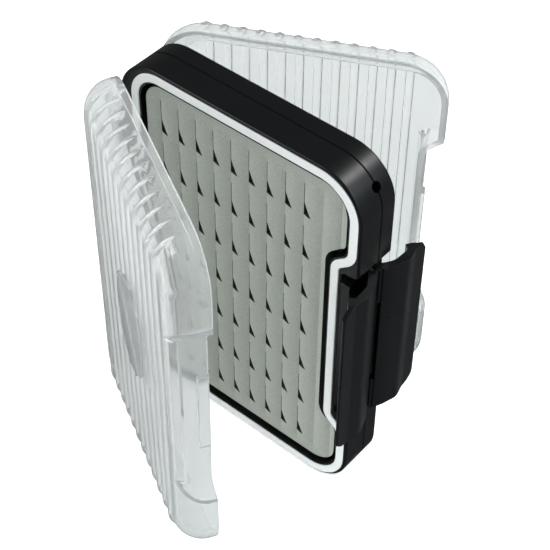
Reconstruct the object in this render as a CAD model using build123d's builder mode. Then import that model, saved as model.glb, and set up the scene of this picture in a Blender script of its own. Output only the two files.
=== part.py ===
"""Double-sided waterproof fly box, standing on its short end with both lids ajar.

Two black frame halves make a central leaf. Each face of the leaf carries a white
seal ring and a sheet of slotted foam, and each has its own ribbed clear lid. The
lids hinge on the long left edge (-X). Two latch wings on one pin, in a notch of
the long right edge (+X), hook over a catch pad on each lid.

Frame: X from the hinge side (-) to the latch side (+), Y through the thickness
with the front face at -Y, Z up. The origin is the centre of the base. Millimetres.
"""

import os
from math import atan2, ceil, cos, radians, sin, tan

from build123d import *

os.makedirs("parts", exist_ok=True)

# ---- Driving dimensions -------------------------------------------------------

# Frame leaf
frame_width = 103.0
frame_height = 151.0
half_thickness = 8.75
corner_radius = 17.0
face_edge_round = 0.8
seam_chamfer = 0.12
seam_offset = 1.6
pocket_depth = 5.55
void_wall = 1.65
void_margin = 6.0

# Notch in the latch side
notch_depth = 6.5
notch_half_length = 35.7
notch_end_slope = 0.5
notch_mouth_radius = 2.4
notch_floor_radius = 1.2

# Seal ring, which follows the frame edge and jogs round the notch
seal_edge_margin = 1.2
seal_hinge_margin = 5.8
seal_hinge_corner_radius = 12.5
seal_notch_margin = 1.3
seal_bend_margin = 1.5
seal_bend_run = 5.4
seal_out_bend_radius = 8.5
seal_in_bend_radius = 3.0
seal_width = 3.2
seal_groove_depth = 1.5
seal_proud = 0.5
seal_side_clearance = 0.05

# Foam sheet, its ridges, and its slots
pocket_inset = 3.9
foam_inset = 4.8
foam_notch_inset = 1.2
foam_end_inset = 0.7
foam_recess = 1.4
film_thickness = 0.25
film_border = 1.2
ridge_pitch = 7.7
ridge_height = 0.6
slot_columns = 9
slot_rows = 7
slot_row_pitch = 18.4
slot_base = 3.2
slot_height = 5.4
slit_length = 8.0
slit_width = 0.2
slot_depth = 3.0

# Lids
rim_gap = 0.1
lid_depth = 13.2
lid_wall = 2.2
lid_edge_radius = 11.0
lid_corner_radius = 16.0
lid_end_inset = 1.2
lid_latch_inset = 2.6
lid_dent_inset = 1.0
lid_bevel_start = 8.8
lid_bevel_angle = 34.0
rim_land_inset = 3.0
rim_land_depth = 2.2
front_rest_angle = 29.0
rear_rest_angle = 27.0

# Ribs and the blank oval on each lid's outer face
rib_count = 12
rib_pitch = 6.4
rib_radius = 2.0
rib_proud = 0.8
rib_fade = 0.85
oval_width = 27.0
oval_height = 45.0
oval_proud = 0.6
oval_border = 0.7
oval_edge_round = 0.3

# Catch pad in each lid's dent
pad_start = 0.2
pad_depth = 3.85
pad_height = 1.3
pad_half_length = 18.0
pad_edge_round = 0.3

# Lid hinges: one knuckle of the frame between two knuckles of the lid
hinge_offset = 3.6
hinge_knuckle_radius = 3.0
hinge_pin_radius = 1.0
hinge_spread = 42.0
frame_knuckle_length = 10.0
lid_knuckle_length = 8.0
knuckle_gap = 0.3
knuckle_root = 1.2
lid_web_gap = 0.85
frame_web_thickness = 3.0

# Latch wings and their pin, with each wing's section as it sits when shut
latch_pin_inset = 0.9
latch_pin_radius = 1.0
latch_barrel_radius = 2.2
latch_half_length = 35.0
latch_back = 1.7
latch_thickness = 3.1
latch_back_start = 2.0
latch_back_end = 6.0
latch_bend_drop = 2.3
latch_bend_along = 13.2
latch_valley_drop = 6.4
latch_valley_along = 16.6
latch_tab_angle = 34.0
latch_tab_length = 6.0
latch_tab_thickness = 1.2
latch_corner_radius = 5.0
nose_clearance = 0.3
nose_tip_clearance = 0.4
nose_thickness = 1.5
window_half_height = 19.5
window_radius = 3.6
lug_length = 12.0
lug_web = 3.0
land_height = 3.2
land_face_gap = 0.15
land_end_gap = 4.2
barrel_gap = 0.3
latch_pin_end_inset = 0.8
front_latch_rest_angle = 36.5
rear_latch_rest_angle = 34.0

# Running fits and the lanyard hole
running_clearance = 0.05
barrel_clearance = 0.25
lanyard_hole_radius = 1.9
lanyard_hole_depth = 4.0
lanyard_hole_angle = 34.0

# ---- Sizes that follow ---------------------------------------------------------

mid_height = frame_height / 2
half_width = frame_width / 2
seal_top = half_thickness + seal_proud
rim_plane = seal_top + rim_gap
lid_face = rim_plane + lid_depth
foam_face = seal_top - foam_recess
pocket_floor = half_thickness - pocket_depth
void_floor = pocket_floor - void_wall
foam_back = pocket_floor + film_thickness
hinge_x = -half_width - hinge_offset
latch_x = half_width - latch_pin_inset
lid_latch_x = half_width - lid_latch_inset
past = 5.0

# ---- Outlines, drawn in X and Z ------------------------------------------------


def frame_outline():
    """Outer edge of the leaf: a rounded rectangle with the latch notch."""
    floor_x = half_width - notch_depth
    floor_half = notch_half_length - notch_end_slope
    points = [
        (-half_width, 0),
        (half_width, 0),
        (half_width, mid_height - notch_half_length),
        (floor_x, mid_height - floor_half),
        (floor_x, mid_height + floor_half),
        (half_width, mid_height + notch_half_length),
        (half_width, frame_height),
        (-half_width, frame_height),
    ]
    notch_radii = [notch_mouth_radius, notch_floor_radius, notch_floor_radius, notch_mouth_radius]
    radii = [corner_radius, corner_radius, *notch_radii, corner_radius, corner_radius]
    FilletPolyline(points, radius=radii, close=True)


seal_left = -half_width + seal_hinge_margin
seal_right = half_width - seal_edge_margin
seal_dent = half_width - notch_depth - seal_notch_margin
seal_bend_start = notch_half_length + seal_bend_margin
bend_angle = atan2(seal_right - seal_dent, seal_bend_run)


def seal_outline(inset, dent_inset=0.0, end_inset=0.0):
    """Outer edge of the seal ring, moved inwards by inset, and further at the notch and ends."""
    shift = inset * tan(bend_angle / 2)
    start = mid_height - seal_bend_start - shift
    run = seal_bend_run * (1 + dent_inset / (seal_right - seal_dent))
    bottom = seal_edge_margin + inset + end_inset
    top = frame_height - bottom
    left = seal_left + inset
    right = seal_right - inset
    dent = seal_dent - inset - dent_inset
    points = [
        (left, bottom),
        (right, bottom),
        (right, start - run),
        (dent, start),
        (dent, 2 * mid_height - start),
        (right, 2 * mid_height - start + run),
        (right, top),
        (left, top),
    ]
    latch_corner = corner_radius - seal_edge_margin - inset
    hinge_corner = seal_hinge_corner_radius - inset
    out_bend = max(seal_out_bend_radius - inset, 1.0)
    in_bend = seal_in_bend_radius + inset
    radii = [hinge_corner, latch_corner, out_bend, in_bend, in_bend, out_bend, latch_corner, hinge_corner]
    FilletPolyline(points, radius=radii, close=True)


def lid_rectangle(inset):
    """Rounded rectangle of a lid's walls, moved inwards by inset."""
    left = -half_width + inset
    right = lid_latch_x - inset
    bottom = lid_end_inset + inset
    top = frame_height - lid_end_inset - inset
    points = [(left, bottom), (right, bottom), (right, top), (left, top)]
    FilletPolyline(points, radius=lid_corner_radius - inset, close=True)


def lid_dent(inset):
    """Wedge that is cut from a lid's latch side, grown inwards by inset."""
    shift = (lid_dent_inset + inset) * tan(bend_angle / 2)
    start = seal_bend_start + shift
    floor_x = seal_dent - lid_dent_inset - inset
    mouth_x = half_width + past
    mouth = start + (mouth_x - floor_x) / tan(bend_angle)
    points = [
        (floor_x, mid_height - start),
        (mouth_x, mid_height - mouth),
        (mouth_x, mid_height + mouth),
        (floor_x, mid_height + start),
    ]
    bend = seal_in_bend_radius + lid_dent_inset + inset
    FilletPolyline(points, radius=[bend, 0, 0, bend], close=True)


lid_floor_x = seal_dent - lid_dent_inset


def lid_bevel(inset):
    """Slope from the floor of the dent to the lid's face, moved inwards by inset."""
    slope = radians(lid_bevel_angle)
    start_x = lid_floor_x - inset / cos(slope)
    start_y = -rim_plane - lid_bevel_start
    run = lid_depth
    points = [
        (start_x, start_y),
        (start_x - run * tan(slope), start_y - run),
        (start_x + past, start_y - run),
        (start_x + past, start_y),
    ]
    Polyline(*points, close=True)


# ---- Frame halves ----------------------------------------------------------------

hinge_centres = [mid_height - hinge_spread, mid_height + hinge_spread]
hole_direction = Vector(cos(radians(lanyard_hole_angle)), 0, sin(radians(lanyard_hole_angle)))
corner_centre = Vector(half_width - corner_radius, 0, frame_height - corner_radius)


def frame_half(seam):
    """The front half of the leaf, from its face at -Y to the seam at y = seam."""
    with BuildPart() as half:
        with BuildSketch(Plane.XZ.offset(-seam)):
            with BuildLine():
                frame_outline()
            make_face()
        extrude(amount=half_thickness + seam)
        fillet(half.faces().sort_by(Axis.Y)[0].edges(), face_edge_round)
        chamfer(half.faces().sort_by(Axis.Y)[-1].edges(), seam_chamfer)

        # Groove for the seal ring
        with BuildSketch(Plane.XZ.offset(half_thickness)):
            with BuildLine():
                seal_outline(0)
            make_face()
            with BuildLine():
                seal_outline(seal_width)
            make_face(mode=Mode.SUBTRACT)
        extrude(amount=-seal_groove_depth, mode=Mode.SUBTRACT)

        # Pocket for the foam
        with BuildSketch(Plane.XZ.offset(half_thickness)):
            with BuildLine():
                seal_outline(pocket_inset)
            make_face()
        extrude(amount=-pocket_depth, mode=Mode.SUBTRACT)

        # Raised land on the notch floor, behind the windows of the wings
        land_half_length = notch_half_length - notch_end_slope - land_end_gap
        with BuildSketch(Plane.XY.offset(mid_height - land_half_length)):
            with Locations((half_width - notch_depth - knuckle_root, seam)):
                land_width = land_height + knuckle_root
                land_reach = seam + half_thickness - land_face_gap
                Rectangle(land_width, land_reach, align=(Align.MIN, Align.MAX))
        extrude(amount=2 * land_half_length)

        # Hinge knuckles with their webs
        for centre in hinge_centres:
            with BuildSketch(Plane.XY.offset(centre - frame_knuckle_length / 2)):
                with Locations((hinge_x, -half_thickness)):
                    Circle(hinge_knuckle_radius)
                web_width = hinge_offset + knuckle_root
                with Locations((hinge_x, -half_thickness)):
                    Rectangle(web_width, frame_web_thickness, align=(Align.MIN, Align.MIN))
                with Locations((hinge_x, -half_thickness)):
                    Circle(hinge_pin_radius, mode=Mode.SUBTRACT)
            extrude(amount=frame_knuckle_length)

        # This half of the lanyard hole, which lies on the seam across the rounded corner
        mouth = corner_centre + hole_direction * corner_radius + Vector(0, seam, 0)
        with BuildSketch(Plane(origin=mouth, x_dir=(0, 1, 0), z_dir=hole_direction)):
            Circle(lanyard_hole_radius)
        extrude(amount=-lanyard_hole_depth, mode=Mode.SUBTRACT)
    return half.part


rear_frame_half = mirror(frame_half(-seam_offset), about=Plane.XZ)

with BuildPart() as front_frame_half:
    add(frame_half(seam_offset))

    # Sealed air space between the two halves
    with BuildSketch(Plane.XZ.offset(-seam_offset)):
        with BuildLine():
            seal_outline(void_margin)
        make_face()
    extrude(amount=seam_offset + void_floor, mode=Mode.SUBTRACT)

    # Latch lug, which grips the middle of the latch pin
    with BuildSketch(Plane.XY.offset(mid_height - lug_length / 2)):
        with Locations((latch_x, 0)):
            Circle(latch_barrel_radius)
        with Locations((latch_x, 0)):
            lug_width = latch_x - half_width + notch_depth + knuckle_root
            Rectangle(lug_width, lug_web, align=(Align.MAX, Align.CENTER))
        with Locations((latch_x, 0)):
            Circle(latch_pin_radius, mode=Mode.SUBTRACT)
    extrude(amount=lug_length)

# ---- Seal rings ------------------------------------------------------------------

with BuildPart() as front_seal_ring:
    groove_floor = half_thickness - seal_groove_depth
    with BuildSketch(Plane.XZ.offset(groove_floor)):
        with BuildLine():
            seal_outline(seal_side_clearance)
        make_face()
        with BuildLine():
            seal_outline(seal_width - seal_side_clearance)
        make_face(mode=Mode.SUBTRACT)
    extrude(amount=seal_top - groove_floor)
    top_face = front_seal_ring.faces().sort_by(Axis.Y)[0]
    fillet(top_face.edges(), seal_proud * 0.6)

rear_seal_ring = mirror(front_seal_ring.part, about=Plane.XZ)

# ---- Foam sheets and the film that glues them down ---------------------------------

foam_left = seal_left + foam_inset
foam_right = seal_dent - foam_inset - foam_notch_inset
slot_middle = (foam_left + foam_right) / 2 - slot_base / 2
slot_xs = [slot_middle + (i - (slot_columns - 1) / 2) * ridge_pitch for i in range(slot_columns)]
slot_zs = [mid_height + ((slot_rows - 1) / 2 - j) * slot_row_pitch for j in range(slot_rows)]

with BuildPart() as front_foam:
    # Ridged slab, wider than the leaf: one arc for each ridge, with its creases on the
    # lines of the slits
    crease_y = -foam_face + ridge_height
    side_ridges = ceil((half_width + abs(slot_middle)) / ridge_pitch)
    wave_start = slot_middle - side_ridges * ridge_pitch
    wave_end = slot_middle + side_ridges * ridge_pitch
    with BuildSketch(Plane.XY):
        with BuildLine():
            for i in range(2 * side_ridges):
                x = wave_start + i * ridge_pitch
                ThreePointArc((x, crease_y), (x + ridge_pitch / 2, -foam_face), (x + ridge_pitch, crease_y))
            Polyline((wave_end, crease_y), (wave_end, -foam_back), (wave_start, -foam_back), (wave_start, crease_y))
        make_face()
    extrude(amount=frame_height)

    # Its outline, parallel to the seal ring
    with BuildSketch(Plane.XZ.offset(foam_back)):
        with BuildLine():
            seal_outline(foam_inset, foam_notch_inset, foam_end_inset)
        make_face()
    extrude(amount=half_thickness, mode=Mode.INTERSECT)

    # Each slot is a triangular notch with a fine slit above its apex
    with BuildSketch(Plane.XZ.offset(foam_face + past)):
        with Locations([(x, z) for x in slot_xs for z in slot_zs]):
            slit = slit_width / 2
            Polygon(
                (-slit, slit_length),
                (slit, slit_length),
                (slit, 0),
                (slot_base, -slot_height),
                (-slit, -slot_height),
                align=None,
            )
    extrude(amount=-past - slot_depth, mode=Mode.SUBTRACT)

rear_foam = mirror(front_foam.part, about=Plane.XZ)

with BuildPart() as front_foam_film:
    with BuildSketch(Plane.XZ.offset(pocket_floor)):
        with BuildLine():
            seal_outline(foam_inset + film_border, foam_notch_inset, foam_end_inset)
        make_face()
    extrude(amount=film_thickness)

rear_foam_film = mirror(front_foam_film.part, about=Plane.XZ)

# ---- Lids ------------------------------------------------------------------------

with BuildPart() as lid_hollow:
    with BuildSketch(Plane.XZ.offset(rim_plane - past)):
        with BuildLine():
            lid_rectangle(lid_wall)
        make_face()
    extrude(amount=past + lid_depth - lid_wall)
    fillet(lid_hollow.faces().sort_by(Axis.Y)[0].edges(), lid_edge_radius - lid_wall)
    with BuildSketch(Plane.XZ.offset(rim_plane - past)):
        with BuildLine():
            lid_dent(lid_wall)
        make_face()
    extrude(amount=2 * past + lid_depth, mode=Mode.SUBTRACT)
    with BuildSketch(Plane.XY.offset(mid_height - seal_bend_start)):
        with BuildLine():
            lid_bevel(lid_wall)
        make_face()
    extrude(amount=2 * seal_bend_start, mode=Mode.SUBTRACT)

rib_middle = (lid_latch_x - half_width) / 2
rib_xs = [rib_middle + (i - (rib_count - 1) / 2) * rib_pitch for i in range(rib_count)]

with BuildPart() as closed_lid:
    with BuildSketch(Plane.XZ.offset(rim_plane)):
        with BuildLine():
            lid_rectangle(0)
        make_face()
    extrude(amount=lid_depth)
    fillet(closed_lid.faces().sort_by(Axis.Y)[0].edges(), lid_edge_radius)

    # Half-round ribs, which wrap over the rounded edge and sink into the end walls
    rib_depth = lid_face - (rib_radius - rib_proud)
    rib_end_sink = rib_radius - rib_proud + rib_fade
    rib_arc = lid_edge_radius - rib_end_sink
    rib_low = lid_end_inset + rib_end_sink
    rib_high = frame_height - rib_low
    for x in rib_xs:
        with BuildLine(Plane.YZ.offset(x)) as rib_path:
            low_arc = JernArc((rib_arc - rib_depth, rib_low), (-1, 0), rib_arc, -90)
            straight = Line(low_arc @ 1, (-rib_depth, rib_high - rib_arc))
            JernArc(straight @ 1, (0, 1), rib_arc, -90)
        with BuildSketch(Plane(origin=low_arc @ 0, z_dir=(0, -1, 0))):
            Circle(rib_radius)
        sweep(path=rib_path.wire())

    # Blank oval, smooth and a little proud, with the ribs stopped short of it
    with BuildSketch(Plane.XZ.offset(lid_face)):
        with Locations((rib_middle, mid_height)):
            Ellipse(oval_width / 2 + oval_border, oval_height / 2 + oval_border)
    extrude(amount=past, mode=Mode.SUBTRACT)
    with BuildSketch(Plane.XZ.offset(lid_face)):
        with Locations((rib_middle, mid_height)):
            Ellipse(oval_width / 2, oval_height / 2)
    extrude(amount=oval_proud)
    fillet(closed_lid.faces().filter_by(Axis.Y).sort_by(Axis.Y)[0].edges(), oval_edge_round)

    # Dent for the latch, then the hollow
    with BuildSketch(Plane.XZ.offset(rim_plane - past)):
        with BuildLine():
            lid_dent(0)
        make_face()
    extrude(amount=2 * past + lid_depth, mode=Mode.SUBTRACT)
    with BuildSketch(Plane.XY.offset(mid_height - seal_bend_start)):
        with BuildLine():
            lid_bevel(0)
        make_face()
    extrude(amount=2 * seal_bend_start, mode=Mode.SUBTRACT)
    add(lid_hollow.part, mode=Mode.SUBTRACT)

    # Rim land, which presses on the seal ring and is a wide shelf on the hinge side
    with BuildSketch(Plane.XZ.offset(rim_plane)):
        with BuildLine():
            lid_rectangle(0)
        make_face()
        with BuildLine():
            lid_dent(0)
        make_face(mode=Mode.SUBTRACT)
        with BuildLine():
            seal_outline(rim_land_inset)
        make_face(mode=Mode.SUBTRACT)
    extrude(amount=rim_land_depth)

    # Catch pad on the floor of the dent
    with BuildSketch(Plane.YZ.offset(lid_floor_x - lid_wall / 2)):
        with Locations((-rim_plane - pad_start, mid_height)):
            Rectangle(pad_depth, 2 * pad_half_length, align=(Align.MAX, Align.CENTER))
    extrude(amount=pad_height + lid_wall / 2)
    pad_face = closed_lid.faces().filter_by(Axis.X).filter_by_position(
        Axis.X, lid_floor_x + pad_height - 0.01, lid_floor_x + pad_height + 0.01
    )
    fillet(pad_face.edges(), pad_edge_round)

    # Hinge knuckles, one either side of each frame knuckle
    knuckle_step = frame_knuckle_length / 2 + knuckle_gap
    for centre in hinge_centres:
        for bottom in (centre - knuckle_step - lid_knuckle_length, centre + knuckle_step):
            with BuildSketch(Plane.XY.offset(bottom)):
                with Locations((hinge_x, -half_thickness)):
                    Circle(hinge_knuckle_radius)
                web_depth = hinge_knuckle_radius - lid_web_gap
                with Locations((hinge_x, -half_thickness - lid_web_gap)):
                    Rectangle(hinge_offset + knuckle_root, web_depth, align=(Align.MIN, Align.MAX))
                with Locations((hinge_x, -half_thickness)):
                    Circle(hinge_pin_radius + running_clearance, mode=Mode.SUBTRACT)
            extrude(amount=lid_knuckle_length)

front_hinge_axis = Axis((hinge_x, -half_thickness, 0), (0, 0, 1))
rear_hinge_axis = Axis((hinge_x, half_thickness, 0), (0, 0, 1))
front_lid = closed_lid.part.rotate(front_hinge_axis, -front_rest_angle)
rear_lid = mirror(closed_lid.part, about=Plane.XZ).rotate(rear_hinge_axis, rear_rest_angle)

# ---- Hinge pins --------------------------------------------------------------------

hinge_pin_length = frame_knuckle_length + 2 * (knuckle_gap + lid_knuckle_length)


def hinge_pin(y, centre):
    """Steel pin through one hinge, as long as its three knuckles."""
    with BuildPart() as pin:
        with Locations((hinge_x, y, centre)):
            Cylinder(hinge_pin_radius, hinge_pin_length)
    return pin.part


hinge_pins = {}
for face_name, face_y in (("front", -half_thickness), ("rear", half_thickness)):
    for level_name, level in zip(("lower", "upper"), hinge_centres):
        hinge_pins[f"{face_name}_{level_name}_hinge_pin"] = hinge_pin(face_y, level)

# ---- Latch wings and pin -------------------------------------------------------------

pad_far = rim_plane + pad_start + pad_depth
nose_near = pad_far + nose_clearance
nose_tip_x = lid_floor_x + nose_tip_clearance
tab_x = -sin(radians(latch_tab_angle))
tab_y = cos(radians(latch_tab_angle))

# Each wing owns one barrel above the window and one below, the inner or the outer of the two
barrel_length = (latch_half_length - window_half_height - 2 * barrel_gap) / 2
inner_low = window_half_height + barrel_gap / 2
outer_low = inner_low + barrel_length + barrel_gap
rear_barrels = [mid_height + outer_low, mid_height - inner_low - barrel_length]
front_barrels = [mid_height + inner_low, mid_height - outer_low - barrel_length]


def wing_section():
    """Section of the rear wing when it is shut: back, tab, hooked nose, and inner face."""
    back_x = latch_x + latch_back
    valley = (back_x - latch_valley_drop, latch_valley_along)
    tab_end = (valley[0] + latch_tab_length * tab_x, valley[1] + latch_tab_length * tab_y)
    tab_inner = (tab_end[0] - latch_tab_thickness * tab_y, tab_end[1] + latch_tab_thickness * tab_x)
    tab_root_y = nose_near + nose_thickness + latch_tab_length / 2
    tab_root_x = tab_inner[0] + (tab_root_y - tab_inner[1]) * tab_x / tab_y
    inner_x = back_x - latch_thickness
    nose_root_x = inner_x - latch_bend_drop - latch_tab_thickness
    points = [
        (back_x, latch_back_start),
        (back_x, latch_back_end),
        (back_x - latch_bend_drop, latch_bend_along),
        valley,
        tab_end,
        tab_inner,
        (tab_root_x, tab_root_y),
        (nose_tip_x, nose_near + nose_thickness),
        (nose_tip_x, nose_near),
        (nose_root_x, nose_near),
        (inner_x, latch_back_end + latch_back_start),
        (inner_x, latch_back_start / 2),
        (latch_x, 0),
    ]
    FilletPolyline(points, radius=[0, 16, 5, 3, 0.5, 0.5, 1.0, 0.4, 0.4, 1.0, 6, 0, 0], close=True)


def latch_wing(own_barrels, other_barrels):
    """One wing as the rear wing sits when it is shut, with its nose behind the catch pad."""
    with BuildPart() as wing:
        with BuildSketch(Plane.XY.offset(mid_height - latch_half_length)):
            with BuildLine():
                wing_section()
            make_face()
        extrude(amount=2 * latch_half_length)

        # Rounded outer corners
        reach = wing.part.bounding_box().max.Y
        with BuildSketch(Plane.YZ):
            with Locations((reach, mid_height)):
                corners = (2 * reach, 2 * latch_half_length, latch_corner_radius)
                RectangleRounded(*corners, align=(Align.MAX, Align.CENTER))
        extrude(amount=half_width + past, mode=Mode.INTERSECT)

        # Window round the lug, and relief round the other wing's barrels
        with Locations((latch_x, 0, mid_height)):
            Cylinder(window_radius, 2 * window_half_height, mode=Mode.SUBTRACT)
        for bottom in other_barrels:
            with Locations((latch_x, 0, bottom + barrel_length / 2)):
                relief_radius = latch_barrel_radius + barrel_clearance
                Cylinder(relief_radius, barrel_length + 2 * barrel_gap, mode=Mode.SUBTRACT)

        # This wing's own barrels, and its bore
        for bottom in own_barrels:
            with Locations((latch_x, 0, bottom + barrel_length / 2)):
                Cylinder(latch_barrel_radius, barrel_length)
        with Locations((latch_x, 0, mid_height)):
            Cylinder(latch_pin_radius + running_clearance, frame_height, mode=Mode.SUBTRACT)
    return wing.part


latch_axis = Axis((latch_x, 0, 0), (0, 0, 1))
rear_latch_wing = latch_wing(rear_barrels, front_barrels).rotate(latch_axis, -rear_latch_rest_angle)
front_wing_shut = mirror(latch_wing(front_barrels, rear_barrels), about=Plane.XZ)
front_latch_wing = front_wing_shut.rotate(latch_axis, front_latch_rest_angle)

with BuildPart() as latch_pin:
    with Locations((latch_x, 0, mid_height)):
        Cylinder(latch_pin_radius, 2 * (latch_half_length - latch_pin_end_inset))

# ---- Write each piece ------------------------------------------------------------------

pieces = {
    "front_frame_half": front_frame_half.part,
    "rear_frame_half": rear_frame_half,
    "front_seal_ring": front_seal_ring.part,
    "rear_seal_ring": rear_seal_ring,
    "front_foam": front_foam.part,
    "rear_foam": rear_foam,
    "front_foam_film": front_foam_film.part,
    "rear_foam_film": rear_foam_film,
    "front_lid": front_lid,
    "rear_lid": rear_lid,
    **hinge_pins,
    "front_latch_wing": front_latch_wing,
    "rear_latch_wing": rear_latch_wing,
    "latch_pin": latch_pin.part,
}

for name, piece in pieces.items():
    piece.label = name
    export_step(piece, f"parts/{name}.step")
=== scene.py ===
"""Double-sided fly box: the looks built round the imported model."""

from math import cos, pi, radians, sin, tan

import bmesh
import bpy
from mathutils import Matrix, Vector, noise


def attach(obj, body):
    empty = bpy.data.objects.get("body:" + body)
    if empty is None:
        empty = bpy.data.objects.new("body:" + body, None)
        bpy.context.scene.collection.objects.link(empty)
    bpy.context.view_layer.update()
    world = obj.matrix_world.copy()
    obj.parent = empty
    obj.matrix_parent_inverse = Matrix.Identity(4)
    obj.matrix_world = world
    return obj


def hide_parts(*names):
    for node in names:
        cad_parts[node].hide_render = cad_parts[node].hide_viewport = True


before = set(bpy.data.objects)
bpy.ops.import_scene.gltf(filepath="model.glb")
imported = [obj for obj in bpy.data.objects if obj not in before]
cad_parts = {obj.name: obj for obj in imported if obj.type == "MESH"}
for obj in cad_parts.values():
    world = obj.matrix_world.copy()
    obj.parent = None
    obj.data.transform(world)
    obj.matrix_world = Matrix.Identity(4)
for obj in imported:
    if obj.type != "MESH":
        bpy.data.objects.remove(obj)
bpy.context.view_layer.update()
scene = bpy.context.scene
mm = 0.001

# ---- Camera -------------------------------------------------------------------
# It stands where the photographer stood: above the box and to the front right,
# close enough to give the leaf its strong perspective.

camera_place = Vector((0.24272, -0.28157, 0.45953))
level_right = Vector((0.7708, 0.6371, 0.0))
level_up = Vector((-0.4592, 0.5556, 0.6932))
camera_roll = radians(0.77)
focal_px = 1515.6
frame_px = 550

camera_right = cos(camera_roll) * level_right + sin(camera_roll) * level_up
camera_up = cos(camera_roll) * level_up - sin(camera_roll) * level_right
camera_back = camera_right.cross(camera_up)
lens = bpy.data.cameras.new("camera")
lens.sensor_width = 36
lens.lens = lens.sensor_width * focal_px / frame_px
lens.clip_start = 0.01
camera = bpy.data.objects.new("camera", lens)
axes = Matrix((camera_right, camera_up, camera_back)).transposed()
camera.matrix_world = Matrix.Translation(camera_place) @ axes.to_4x4()
scene.collection.objects.link(camera)
scene.camera = camera

# ---- Studio ---------------------------------------------------------------------
# A white sweep in a white tent, whose floor and tent are set dimmer for mirrored rays than for
# rays seen directly, so what glossy plastic mirrors is much darker than what is seen directly,
# and what the clear lids let through lies between. A soft key stands at the left, and two small
# softboxes behind give the corner its highlights.

floor_size = 3.0
floor_white = 0.95
floor_through = 0.5
floor_mirrored = 0.1
floor_glow = 0.35
glow_through = 0.55
tent_white = 0.9
tent_through = 0.8
tent_mirrored = 0.16


def flagged(tree, white, through, mirrored):
    """A level: white where seen or lighting, through behind a clear lid, else mirrored."""
    rays = tree.nodes.new("ShaderNodeLightPath")
    open_view = tree.nodes.new("ShaderNodeMath")
    open_view.operation = "MAXIMUM"
    tree.links.new(rays.outputs["Is Camera Ray"], open_view.inputs[0])
    tree.links.new(rays.outputs["Is Diffuse Ray"], open_view.inputs[1])
    level = tree.nodes.new("ShaderNodeMapRange")
    level.inputs["To Min"].default_value = mirrored
    level.inputs["To Max"].default_value = white
    tree.links.new(open_view.outputs[0], level.inputs["Value"])
    behind = tree.nodes.new("ShaderNodeMath")
    behind.operation = "SUBTRACT"
    tree.links.new(rays.outputs["Transmission Depth"], behind.inputs[0])
    tree.links.new(rays.outputs["Is Diffuse Ray"], behind.inputs[1])
    passed = tree.nodes.new("ShaderNodeMath")
    passed.operation = "GREATER_THAN"
    tree.links.new(behind.outputs[0], passed.inputs[0])
    dimmed = tree.nodes.new("ShaderNodeMapRange")
    dimmed.inputs["To Max"].default_value = through
    tree.links.new(passed.outputs[0], dimmed.inputs["Value"])
    tree.links.new(level.outputs["Result"], dimmed.inputs["To Min"])
    return dimmed.outputs["Result"]


def stage_floor():
    bm = bmesh.new()
    bmesh.ops.create_grid(bm, x_segments=1, y_segments=1, size=floor_size)
    mesh = bpy.data.meshes.new("floor")
    bm.to_mesh(mesh)
    bm.free()
    floor = bpy.data.objects.new("floor", mesh)
    scene.collection.objects.link(floor)
    white = bpy.data.materials.new("floor_white")
    white.use_nodes = True
    paint = white.node_tree.nodes["Principled BSDF"]
    link = white.node_tree.links.new
    link(flagged(white.node_tree, floor_white, floor_through, floor_mirrored), paint.inputs["Base Color"])
    link(flagged(white.node_tree, 1, glow_through, 0), paint.inputs["Emission Color"])
    paint.inputs["Emission Strength"].default_value = floor_glow
    paint.inputs["Roughness"].default_value = 0.9
    paint.inputs["Specular IOR Level"].default_value = 0.1
    mesh.materials.append(white)


def area_light(name, place, aim, size, power, colour=(1, 1, 1)):
    lamp = bpy.data.lights.new(name, "AREA")
    lamp.shape = "RECTANGLE"
    lamp.size, lamp.size_y = size
    lamp.energy = power
    lamp.color = colour
    holder = bpy.data.objects.new(name, lamp)
    holder.location = place
    holder.rotation_euler = (Vector(aim) - Vector(place)).to_track_quat("-Z", "Y").to_euler()
    scene.collection.objects.link(holder)


stage_floor()
box_middle = (0, 0, 0.075)
area_light("left_key", (-0.7, -0.75, 0.8), box_middle, (0.5, 0.5), 6)
area_light("corner_softbox", (0.45, 0.67, 0.95), (0.04, 0, 0.14), (0.16, 0.16), 6)
area_light("edge_softbox", (0.85, 0.35, 0.7), (0.05, 0, 0.13), (0.2, 0.2), 3, (0.85, 0.93, 1))
area_light("side_strip", (0.8, 0.1, 0.3), box_middle, (0.2, 0.8), 2, (0.8, 0.92, 1))

world = bpy.data.worlds.new("tent")
scene.world = world
world.use_nodes = True
tent = world.node_tree.nodes["Background"]
tent.inputs["Color"].default_value = (0.96, 0.98, 1.0, 1)
tent_level = flagged(world.node_tree, tent_white, tent_through, tent_mirrored)
world.node_tree.links.new(tent_level, tent.inputs["Strength"])
scene.view_settings.view_transform = "Standard"

# ---- Frame halves ------------------------------------------------------------------
# Two black satin mouldings glued at a fine seam. The faces carry a very fine spark
# texture.

weld = 1e-6
flat_angle = radians(0.4)
sharp_angle = radians(28)


def moulded(name, node, body, edge, segments):
    """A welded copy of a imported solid, with its flat faces cleared and its edges rounded."""
    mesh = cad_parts[node].data.copy()
    mesh.name = name
    bm = bmesh.new()
    bm.from_mesh(mesh)
    bmesh.ops.remove_doubles(bm, verts=bm.verts, dist=weld)
    bmesh.ops.dissolve_limit(bm, angle_limit=flat_angle, verts=bm.verts, edges=bm.edges)
    for face in bm.faces:
        face.smooth = True
    for line in bm.edges:
        line.smooth = line.calc_face_angle(0) < sharp_angle
    bm.to_mesh(mesh)
    bm.free()
    mesh.materials.clear()
    piece = bpy.data.objects.new(name, mesh)
    scene.collection.objects.link(piece)
    if edge:
        bevel = piece.modifiers.new("rounded_edges", "BEVEL")
        bevel.width = edge
        bevel.segments = segments
        bevel.limit_method = "ANGLE"
        bevel.angle_limit = sharp_angle
        bevel.use_clamp_overlap = True
        bevel.harden_normals = True
    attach(piece, body)
    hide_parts(node)
    return piece


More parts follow.
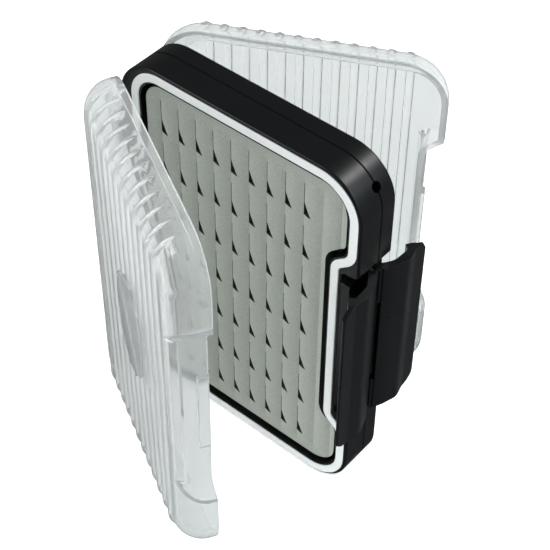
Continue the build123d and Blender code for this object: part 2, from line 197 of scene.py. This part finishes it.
def new_group(name, inputs, outputs):
    """A shader node group with its sockets made, its two end nodes, and short ways to add and link."""
    group = bpy.data.node_groups.new(name, "ShaderNodeTree")
    for socket, kind, value in inputs:
        made = group.interface.new_socket(socket, in_out="INPUT", socket_type=kind)
        made.default_value = value
    for socket, kind in outputs:
        group.interface.new_socket(socket, in_out="OUTPUT", socket_type=kind)
    return group, group.nodes.new("NodeGroupInput"), group.nodes.new("NodeGroupOutput")


def make_moulded_grain():
    """Fine moulding texture and faint handling marks: a height for bump, and a roughness."""
    group, given, result = new_group(
        "moulded_grain",
        [("Grain Scale", "NodeSocketFloat", 3000), ("Roughness", "NodeSocketFloat", 0.4),
         ("Smudge", "NodeSocketFloat", 0.08)],
        [("Height", "NodeSocketFloat"), ("Roughness", "NodeSocketFloat"), ("Mask", "NodeSocketFloat")],
    )
    nodes, link = group.nodes, group.links.new
    place = nodes.new("ShaderNodeTexCoord")
    grain = nodes.new("ShaderNodeTexNoise")
    grain.inputs["Detail"].default_value = 3
    link(place.outputs["Object"], grain.inputs["Vector"])
    link(given.outputs["Grain Scale"], grain.inputs["Scale"])
    smudge = nodes.new("ShaderNodeTexNoise")
    smudge.inputs["Scale"].default_value = 38
    smudge.inputs["Detail"].default_value = 5
    smudge.inputs["Roughness"].default_value = 0.65
    link(place.outputs["Object"], smudge.inputs["Vector"])
    spread = nodes.new("ShaderNodeMath")
    spread.operation = "SUBTRACT"
    spread.inputs[1].default_value = 0.5
    link(smudge.outputs["Fac"], spread.inputs[0])
    rough = nodes.new("ShaderNodeMath")
    rough.operation = "MULTIPLY_ADD"
    link(spread.outputs[0], rough.inputs[0])
    link(given.outputs["Smudge"], rough.inputs[1])
    link(given.outputs["Roughness"], rough.inputs[2])
    link(grain.outputs["Fac"], result.inputs["Height"])
    link(rough.outputs[0], result.inputs["Roughness"])
    link(smudge.outputs["Fac"], result.inputs["Mask"])
    return group


moulded_grain = make_moulded_grain()


def finish_nodes(name):
    """A new material with its nodes, its links, and its Principled shader."""
    made = bpy.data.materials.new(name)
    made.use_nodes = True
    return made, made.node_tree.nodes, made.node_tree.links.new, made.node_tree.nodes["Principled BSDF"]


seam_place = 1.6 * mm
seam_width = 0.3 * mm


def black_moulding(name, dark, light, roughness, bump, grain_scale):
    made, nodes, link, paint = finish_nodes(name)
    grain = nodes.new("ShaderNodeGroup")
    grain.node_tree = moulded_grain
    grain.inputs["Grain Scale"].default_value = grain_scale
    grain.inputs["Roughness"].default_value = roughness
    grain.inputs["Smudge"].default_value = 0.22
    tone = nodes.new("ShaderNodeMix")
    tone.data_type = "RGBA"
    tone.inputs["A"].default_value = dark
    tone.inputs["B"].default_value = light
    link(grain.outputs["Mask"], tone.inputs["Factor"])
    link(tone.outputs["Result"], paint.inputs["Base Color"])
    link(grain.outputs["Roughness"], paint.inputs["Roughness"])
    relief = nodes.new("ShaderNodeBump")
    relief.inputs["Strength"].default_value = bump
    relief.inputs["Distance"].default_value = 0.02 * mm
    link(grain.outputs["Height"], relief.inputs["Height"])
    link(relief.outputs["Normal"], paint.inputs["Normal"])
    # The glued seam down the middle of the leaf is a dull, dark line
    place = nodes.new("ShaderNodeTexCoord")
    across = nodes.new("ShaderNodeSeparateXYZ")
    link(place.outputs["Object"], across.inputs["Vector"])
    beside_seam = nodes.new("ShaderNodeMath")
    beside_seam.operation = "SUBTRACT"
    beside_seam.inputs[1].default_value = seam_place
    link(across.outputs["Y"], beside_seam.inputs[0])
    from_seam = nodes.new("ShaderNodeMath")
    from_seam.operation = "ABSOLUTE"
    link(beside_seam.outputs[0], from_seam.inputs[0])
    gloss = nodes.new("ShaderNodeMapRange")
    gloss.inputs["From Min"].default_value = seam_width
    gloss.inputs["From Max"].default_value = seam_width * 1.3
    gloss.inputs["To Min"].default_value = 0.02
    gloss.inputs["To Max"].default_value = 0.3
    link(from_seam.outputs[0], gloss.inputs["Value"])
    link(gloss.outputs["Result"], paint.inputs["Specular IOR Level"])
    return made


leaf_black = black_moulding(
    "leaf_black", (0.0015, 0.0018, 0.002, 1), (0.0032, 0.0037, 0.004, 1), 0.36, 0.5, 2600
)
for side in ("front", "rear"):
    half = moulded(f"{side}_leaf", f"{side}_frame_half", "frame", 0.15 * mm, 2)
    half.data.materials.append(leaf_black)

# ---- Latch wings -------------------------------------------------------------------
# The same black plastic in a smoother tool finish, with a soft moulded radius all
# round each wing.

wing_black = black_moulding(
    "wing_black", (0.0018, 0.0021, 0.0024, 1), (0.0034, 0.004, 0.0045, 1), 0.3, 0.3, 3400
)
for side in ("front", "rear"):
    wing = moulded(f"{side}_wing", f"{side}_latch_wing", f"{side}_latch", 0.35 * mm, 3)
    wing.data.materials.append(wing_black)

# ---- Pins -----------------------------------------------------------------------------
# Bright steel wire, cropped and lightly drawn along its length.


def drawn_steel():
    made, nodes, link, paint = finish_nodes("drawn_steel")
    place = nodes.new("ShaderNodeTexCoord")
    stretch = nodes.new("ShaderNodeMapping")
    stretch.inputs["Scale"].default_value = (4000, 4000, 60)
    link(place.outputs["Object"], stretch.inputs["Vector"])
    lines = nodes.new("ShaderNodeTexNoise")
    lines.inputs["Scale"].default_value = 1
    lines.inputs["Detail"].default_value = 2
    link(stretch.outputs["Vector"], lines.inputs["Vector"])
    shine = nodes.new("ShaderNodeMapRange")
    shine.inputs["To Min"].default_value = 0.2
    shine.inputs["To Max"].default_value = 0.38
    link(lines.outputs["Fac"], shine.inputs["Value"])
    link(shine.outputs["Result"], paint.inputs["Roughness"])
    tone = nodes.new("ShaderNodeMix")
    tone.data_type = "RGBA"
    tone.inputs["A"].default_value = (0.5, 0.5, 0.51, 1)
    tone.inputs["B"].default_value = (0.68, 0.68, 0.69, 1)
    link(lines.outputs["Fac"], tone.inputs["Factor"])
    link(tone.outputs["Result"], paint.inputs["Base Color"])
    paint.inputs["Metallic"].default_value = 1
    return made


steel = drawn_steel()
for node in [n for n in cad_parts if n.endswith("_pin")]:
    pin = moulded(f"{node}_steel", node, "frame", 0.15 * mm, 3)
    pin.data.materials.append(steel)

# ---- Seal rings --------------------------------------------------------------------------
# White silicone, crowned along its top, seated in the groove of each face.


def silicone():
    made, nodes, link, paint = finish_nodes("white_silicone")
    grain = nodes.new("ShaderNodeGroup")
    grain.node_tree = moulded_grain
    grain.inputs["Grain Scale"].default_value = 1200
    grain.inputs["Roughness"].default_value = 0.5
    grain.inputs["Smudge"].default_value = 0.12
    tone = nodes.new("ShaderNodeMix")
    tone.data_type = "RGBA"
    tone.inputs["A"].default_value = (0.6, 0.625, 0.61, 1)
    tone.inputs["B"].default_value = (0.68, 0.7, 0.685, 1)
    link(grain.outputs["Mask"], tone.inputs["Factor"])
    link(tone.outputs["Result"], paint.inputs["Base Color"])
    link(grain.outputs["Roughness"], paint.inputs["Roughness"])
    relief = nodes.new("ShaderNodeBump")
    relief.inputs["Strength"].default_value = 0.2
    relief.inputs["Distance"].default_value = 0.02 * mm
    link(grain.outputs["Height"], relief.inputs["Height"])
    link(relief.outputs["Normal"], paint.inputs["Normal"])
    paint.inputs["Subsurface Weight"].default_value = 0.15
    paint.inputs["Subsurface Scale"].default_value = 1.0 * mm
    return made


white_silicone = silicone()
for side in ("front", "rear"):
    ring = moulded(f"{side}_seal", f"{side}_seal_ring", "frame", 0, 0)
    ring.data.materials.append(white_silicone)

# ---- Lids -----------------------------------------------------------------------------------
# Clear polycarbonate mouldings, polished inside and out, with half-round ribs over
# the face and a smooth blank oval in the middle.


def clear_moulding():
    made, nodes, link, paint = finish_nodes("clear_moulding")
    grain = nodes.new("ShaderNodeGroup")
    grain.node_tree = moulded_grain
    grain.inputs["Grain Scale"].default_value = 220
    grain.inputs["Roughness"].default_value = 0.09
    grain.inputs["Smudge"].default_value = 0.06
    link(grain.outputs["Roughness"], paint.inputs["Roughness"])
    relief = nodes.new("ShaderNodeBump")
    relief.inputs["Strength"].default_value = 0.25
    relief.inputs["Distance"].default_value = 0.05 * mm
    link(grain.outputs["Height"], relief.inputs["Height"])
    link(relief.outputs["Normal"], paint.inputs["Normal"])
    # A clear lid stops only a little light, so its shadow is mostly let through
    rays = nodes.new("ShaderNodeLightPath")
    shade = nodes.new("ShaderNodeMapRange")
    shade.inputs["To Min"].default_value = 1
    shade.inputs["To Max"].default_value = 0.2
    link(rays.outputs["Is Shadow Ray"], shade.inputs["Value"])
    link(shade.outputs["Result"], paint.inputs["Alpha"])
    paint.inputs["Base Color"].default_value = (0.9, 0.92, 0.91, 1)
    paint.inputs["Transmission Weight"].default_value = 0.86
    paint.inputs["IOR"].default_value = 1.38
    return made


clear = clear_moulding()
for side in ("front", "rear"):
    lid = moulded(f"{side}_clear_lid", f"{side}_lid", f"{side}_lid", 0.2 * mm, 2)
    lid.data.materials.append(clear)

# ---- Foam sheets -----------------------------------------------------------------------------
# Grey-green closed-cell foam, heat-pressed into soft ridges and cut with a triangular
# notch and a fine slit for each fly.

foam_grey = (0.28, 0.3, 0.266, 1)
# Painted shade: the near-black colour and the depths at which the notches and edges are painted dark
foam_painted_shade = (0.022, 0.026, 0.021, 1)
foam_skin_depth = 7.15 * mm
foam_full_shade_depth = 6.6 * mm


def foam_finish():
    made, nodes, link, paint = finish_nodes("foam_grey")
    place = nodes.new("ShaderNodeTexCoord")
    cells = nodes.new("ShaderNodeTexNoise")
    cells.inputs["Scale"].default_value = 2200
    cells.inputs["Detail"].default_value = 4
    link(place.outputs["Object"], cells.inputs["Vector"])
    tone = nodes.new("ShaderNodeMapRange")
    tone.inputs["From Min"].default_value = 0.35
    tone.inputs["From Max"].default_value = 0.7
    link(cells.outputs["Fac"], tone.inputs["Value"])
    mix = nodes.new("ShaderNodeMix")
    mix.data_type = "RGBA"
    mix.inputs["A"].default_value = tuple(v * 0.88 for v in foam_grey[:3]) + (1,)
    mix.inputs["B"].default_value = tuple(v * 1.14 for v in foam_grey[:3]) + (1,)
    link(tone.outputs["Result"], mix.inputs["Factor"])

    # Painted shade: the faces of each ridge that lean to the left are painted lighter and those that lean
    # right darker, as if lit from the left
    facing = nodes.new("ShaderNodeSeparateXYZ")
    link(place.outputs["Normal"], facing.inputs["Vector"])
    painted_side_shade = nodes.new("ShaderNodeMapRange")
    painted_side_shade.inputs["From Min"].default_value = -0.28
    painted_side_shade.inputs["From Max"].default_value = 0.28
    painted_side_shade.inputs["To Min"].default_value = 1.12
    painted_side_shade.inputs["To Max"].default_value = 0.86
    link(facing.outputs["X"], painted_side_shade.inputs["Value"])
    side_shaded_grey = nodes.new("ShaderNodeVectorMath")
    side_shaded_grey.operation = "SCALE"
    link(mix.outputs["Result"], side_shaded_grey.inputs[0])
    link(painted_side_shade.outputs["Result"], side_shaded_grey.inputs["Scale"])

    # Painted shade: inside the notches and on the sheet's edge walls, below the skin and on faces that
    # don't face outward, the colour is painted nearly black
    depth = nodes.new("ShaderNodeSeparateXYZ")
    link(place.outputs["Object"], depth.inputs["Vector"])
    from_middle = nodes.new("ShaderNodeMath")
    from_middle.operation = "ABSOLUTE"
    link(depth.outputs["Y"], from_middle.inputs[0])
    skin = nodes.new("ShaderNodeMapRange")
    skin.inputs["From Min"].default_value = foam_full_shade_depth
    skin.inputs["From Max"].default_value = foam_skin_depth
    link(from_middle.outputs[0], skin.inputs["Value"])
    outward = nodes.new("ShaderNodeMath")
    outward.operation = "ABSOLUTE"
    link(facing.outputs["Y"], outward.inputs[0])
    skin_faces = nodes.new("ShaderNodeMapRange")
    skin_faces.inputs["From Min"].default_value = 0.8
    skin_faces.inputs["From Max"].default_value = 0.93
    link(outward.outputs[0], skin_faces.inputs["Value"])
    unshaded_skin = nodes.new("ShaderNodeMath")
    unshaded_skin.operation = "MULTIPLY"
    link(skin.outputs["Result"], unshaded_skin.inputs[0])
    link(skin_faces.outputs["Result"], unshaded_skin.inputs[1])
    painted_notch_shade = nodes.new("ShaderNodeMix")
    painted_notch_shade.data_type = "RGBA"
    painted_notch_shade.inputs["A"].default_value = foam_painted_shade
    link(side_shaded_grey.outputs[0], painted_notch_shade.inputs["B"])
    link(unshaded_skin.outputs[0], painted_notch_shade.inputs["Factor"])
    link(painted_notch_shade.outputs["Result"], paint.inputs["Base Color"])
    relief = nodes.new("ShaderNodeBump")
    relief.inputs["Strength"].default_value = 0.6
    relief.inputs["Distance"].default_value = 0.05 * mm
    link(cells.outputs["Fac"], relief.inputs["Height"])
    link(relief.outputs["Normal"], paint.inputs["Normal"])
    paint.inputs["Roughness"].default_value = 0.85
    paint.inputs["Specular IOR Level"].default_value = 0.25
    return made


foam_ridge = 0.6 * mm
press_length = 7 * mm
press_steps = 4
edge_tuck = 0.35 * mm
level_slack = 0.05 * mm
wall_lean = 0.3


def press_foam(mesh):
    """Draws the cut edge in at the skin, and flattens the ridges towards the two ends."""
    bm = bmesh.new()
    bm.from_mesh(mesh)
    bottom = min(v.co.z for v in bm.verts)
    top = max(v.co.z for v in bm.verts)
    crest = max(abs(v.co.y) for v in bm.verts)
    back = min(abs(v.co.y) for v in bm.verts) + level_slack
    edge_walls = {}
    for face in bm.faces:
        if abs(face.normal.y) < wall_lean and min(abs(v.co.y) for v in face.verts) < back:
            for v in face.verts:
                if abs(v.co.y) > back:
                    edge_walls.setdefault(v, Vector()).__iadd__(face.normal)
    for v, outward in edge_walls.items():
        outward.y = 0
        v.co -= edge_tuck * outward.normalized()
    bottom += edge_tuck
    top -= edge_tuck
    for end, inward in ((bottom, 1), (top, -1)):
        for step in range(1, press_steps + 1):
            height = end + inward * press_length * step / press_steps
            everything = bm.verts[:] + bm.edges[:] + bm.faces[:]
            bmesh.ops.bisect_plane(bm, geom=everything, plane_co=(0, 0, height), plane_no=(0, 0, 1))
    for v in bm.verts:
        from_end = max(min(v.co.z - bottom, top - v.co.z), 0) / press_length
        proud = abs(v.co.y) - (crest - foam_ridge)
        if from_end < 1 and proud > 0:
            v.co.y *= 1 - proud * (1 - from_end * from_end) / abs(v.co.y)
    for face in bm.faces:
        face.smooth = True
    for line in bm.edges:
        line.smooth = line.calc_face_angle(0) < sharp_angle
    bm.to_mesh(mesh)
    bm.free()


foam = foam_finish()
for side in ("front", "rear"):
    sheet = moulded(f"{side}_foam_sheet", f"{side}_foam", "frame", 0.08 * mm, 2)
    press_foam(sheet.data)
    sheet.data.materials.append(foam)

# ---- Adhesive films --------------------------------------------------------------------------
# Thin double-sided film, straw-coloured and cloudy with glue, that holds each foam
# sheet to the floor of its pocket.


def glue_film():
    made, nodes, link, paint = finish_nodes("glue_film")
    place = nodes.new("ShaderNodeTexCoord")
    cloud = nodes.new("ShaderNodeTexNoise")
    cloud.inputs["Scale"].default_value = 160
    cloud.inputs["Detail"].default_value = 4
    link(place.outputs["Object"], cloud.inputs["Vector"])
    tone = nodes.new("ShaderNodeMix")
    tone.data_type = "RGBA"
    tone.inputs["A"].default_value = (0.42, 0.36, 0.24, 1)
    tone.inputs["B"].default_value = (0.58, 0.52, 0.38, 1)
    link(cloud.outputs["Fac"], tone.inputs["Factor"])
    link(tone.outputs["Result"], paint.inputs["Base Color"])
    shine = nodes.new("ShaderNodeMapRange")
    shine.inputs["To Min"].default_value = 0.3
    shine.inputs["To Max"].default_value = 0.6
    link(cloud.outputs["Fac"], shine.inputs["Value"])
    link(shine.outputs["Result"], paint.inputs["Roughness"])
    return made


film_finish = glue_film()
for side in ("front", "rear"):
    film = moulded(f"{side}_adhesive", f"{side}_foam_film", "frame", 0, 0)
    film.data.materials.append(film_finish)

bpy.context.view_layer.update()
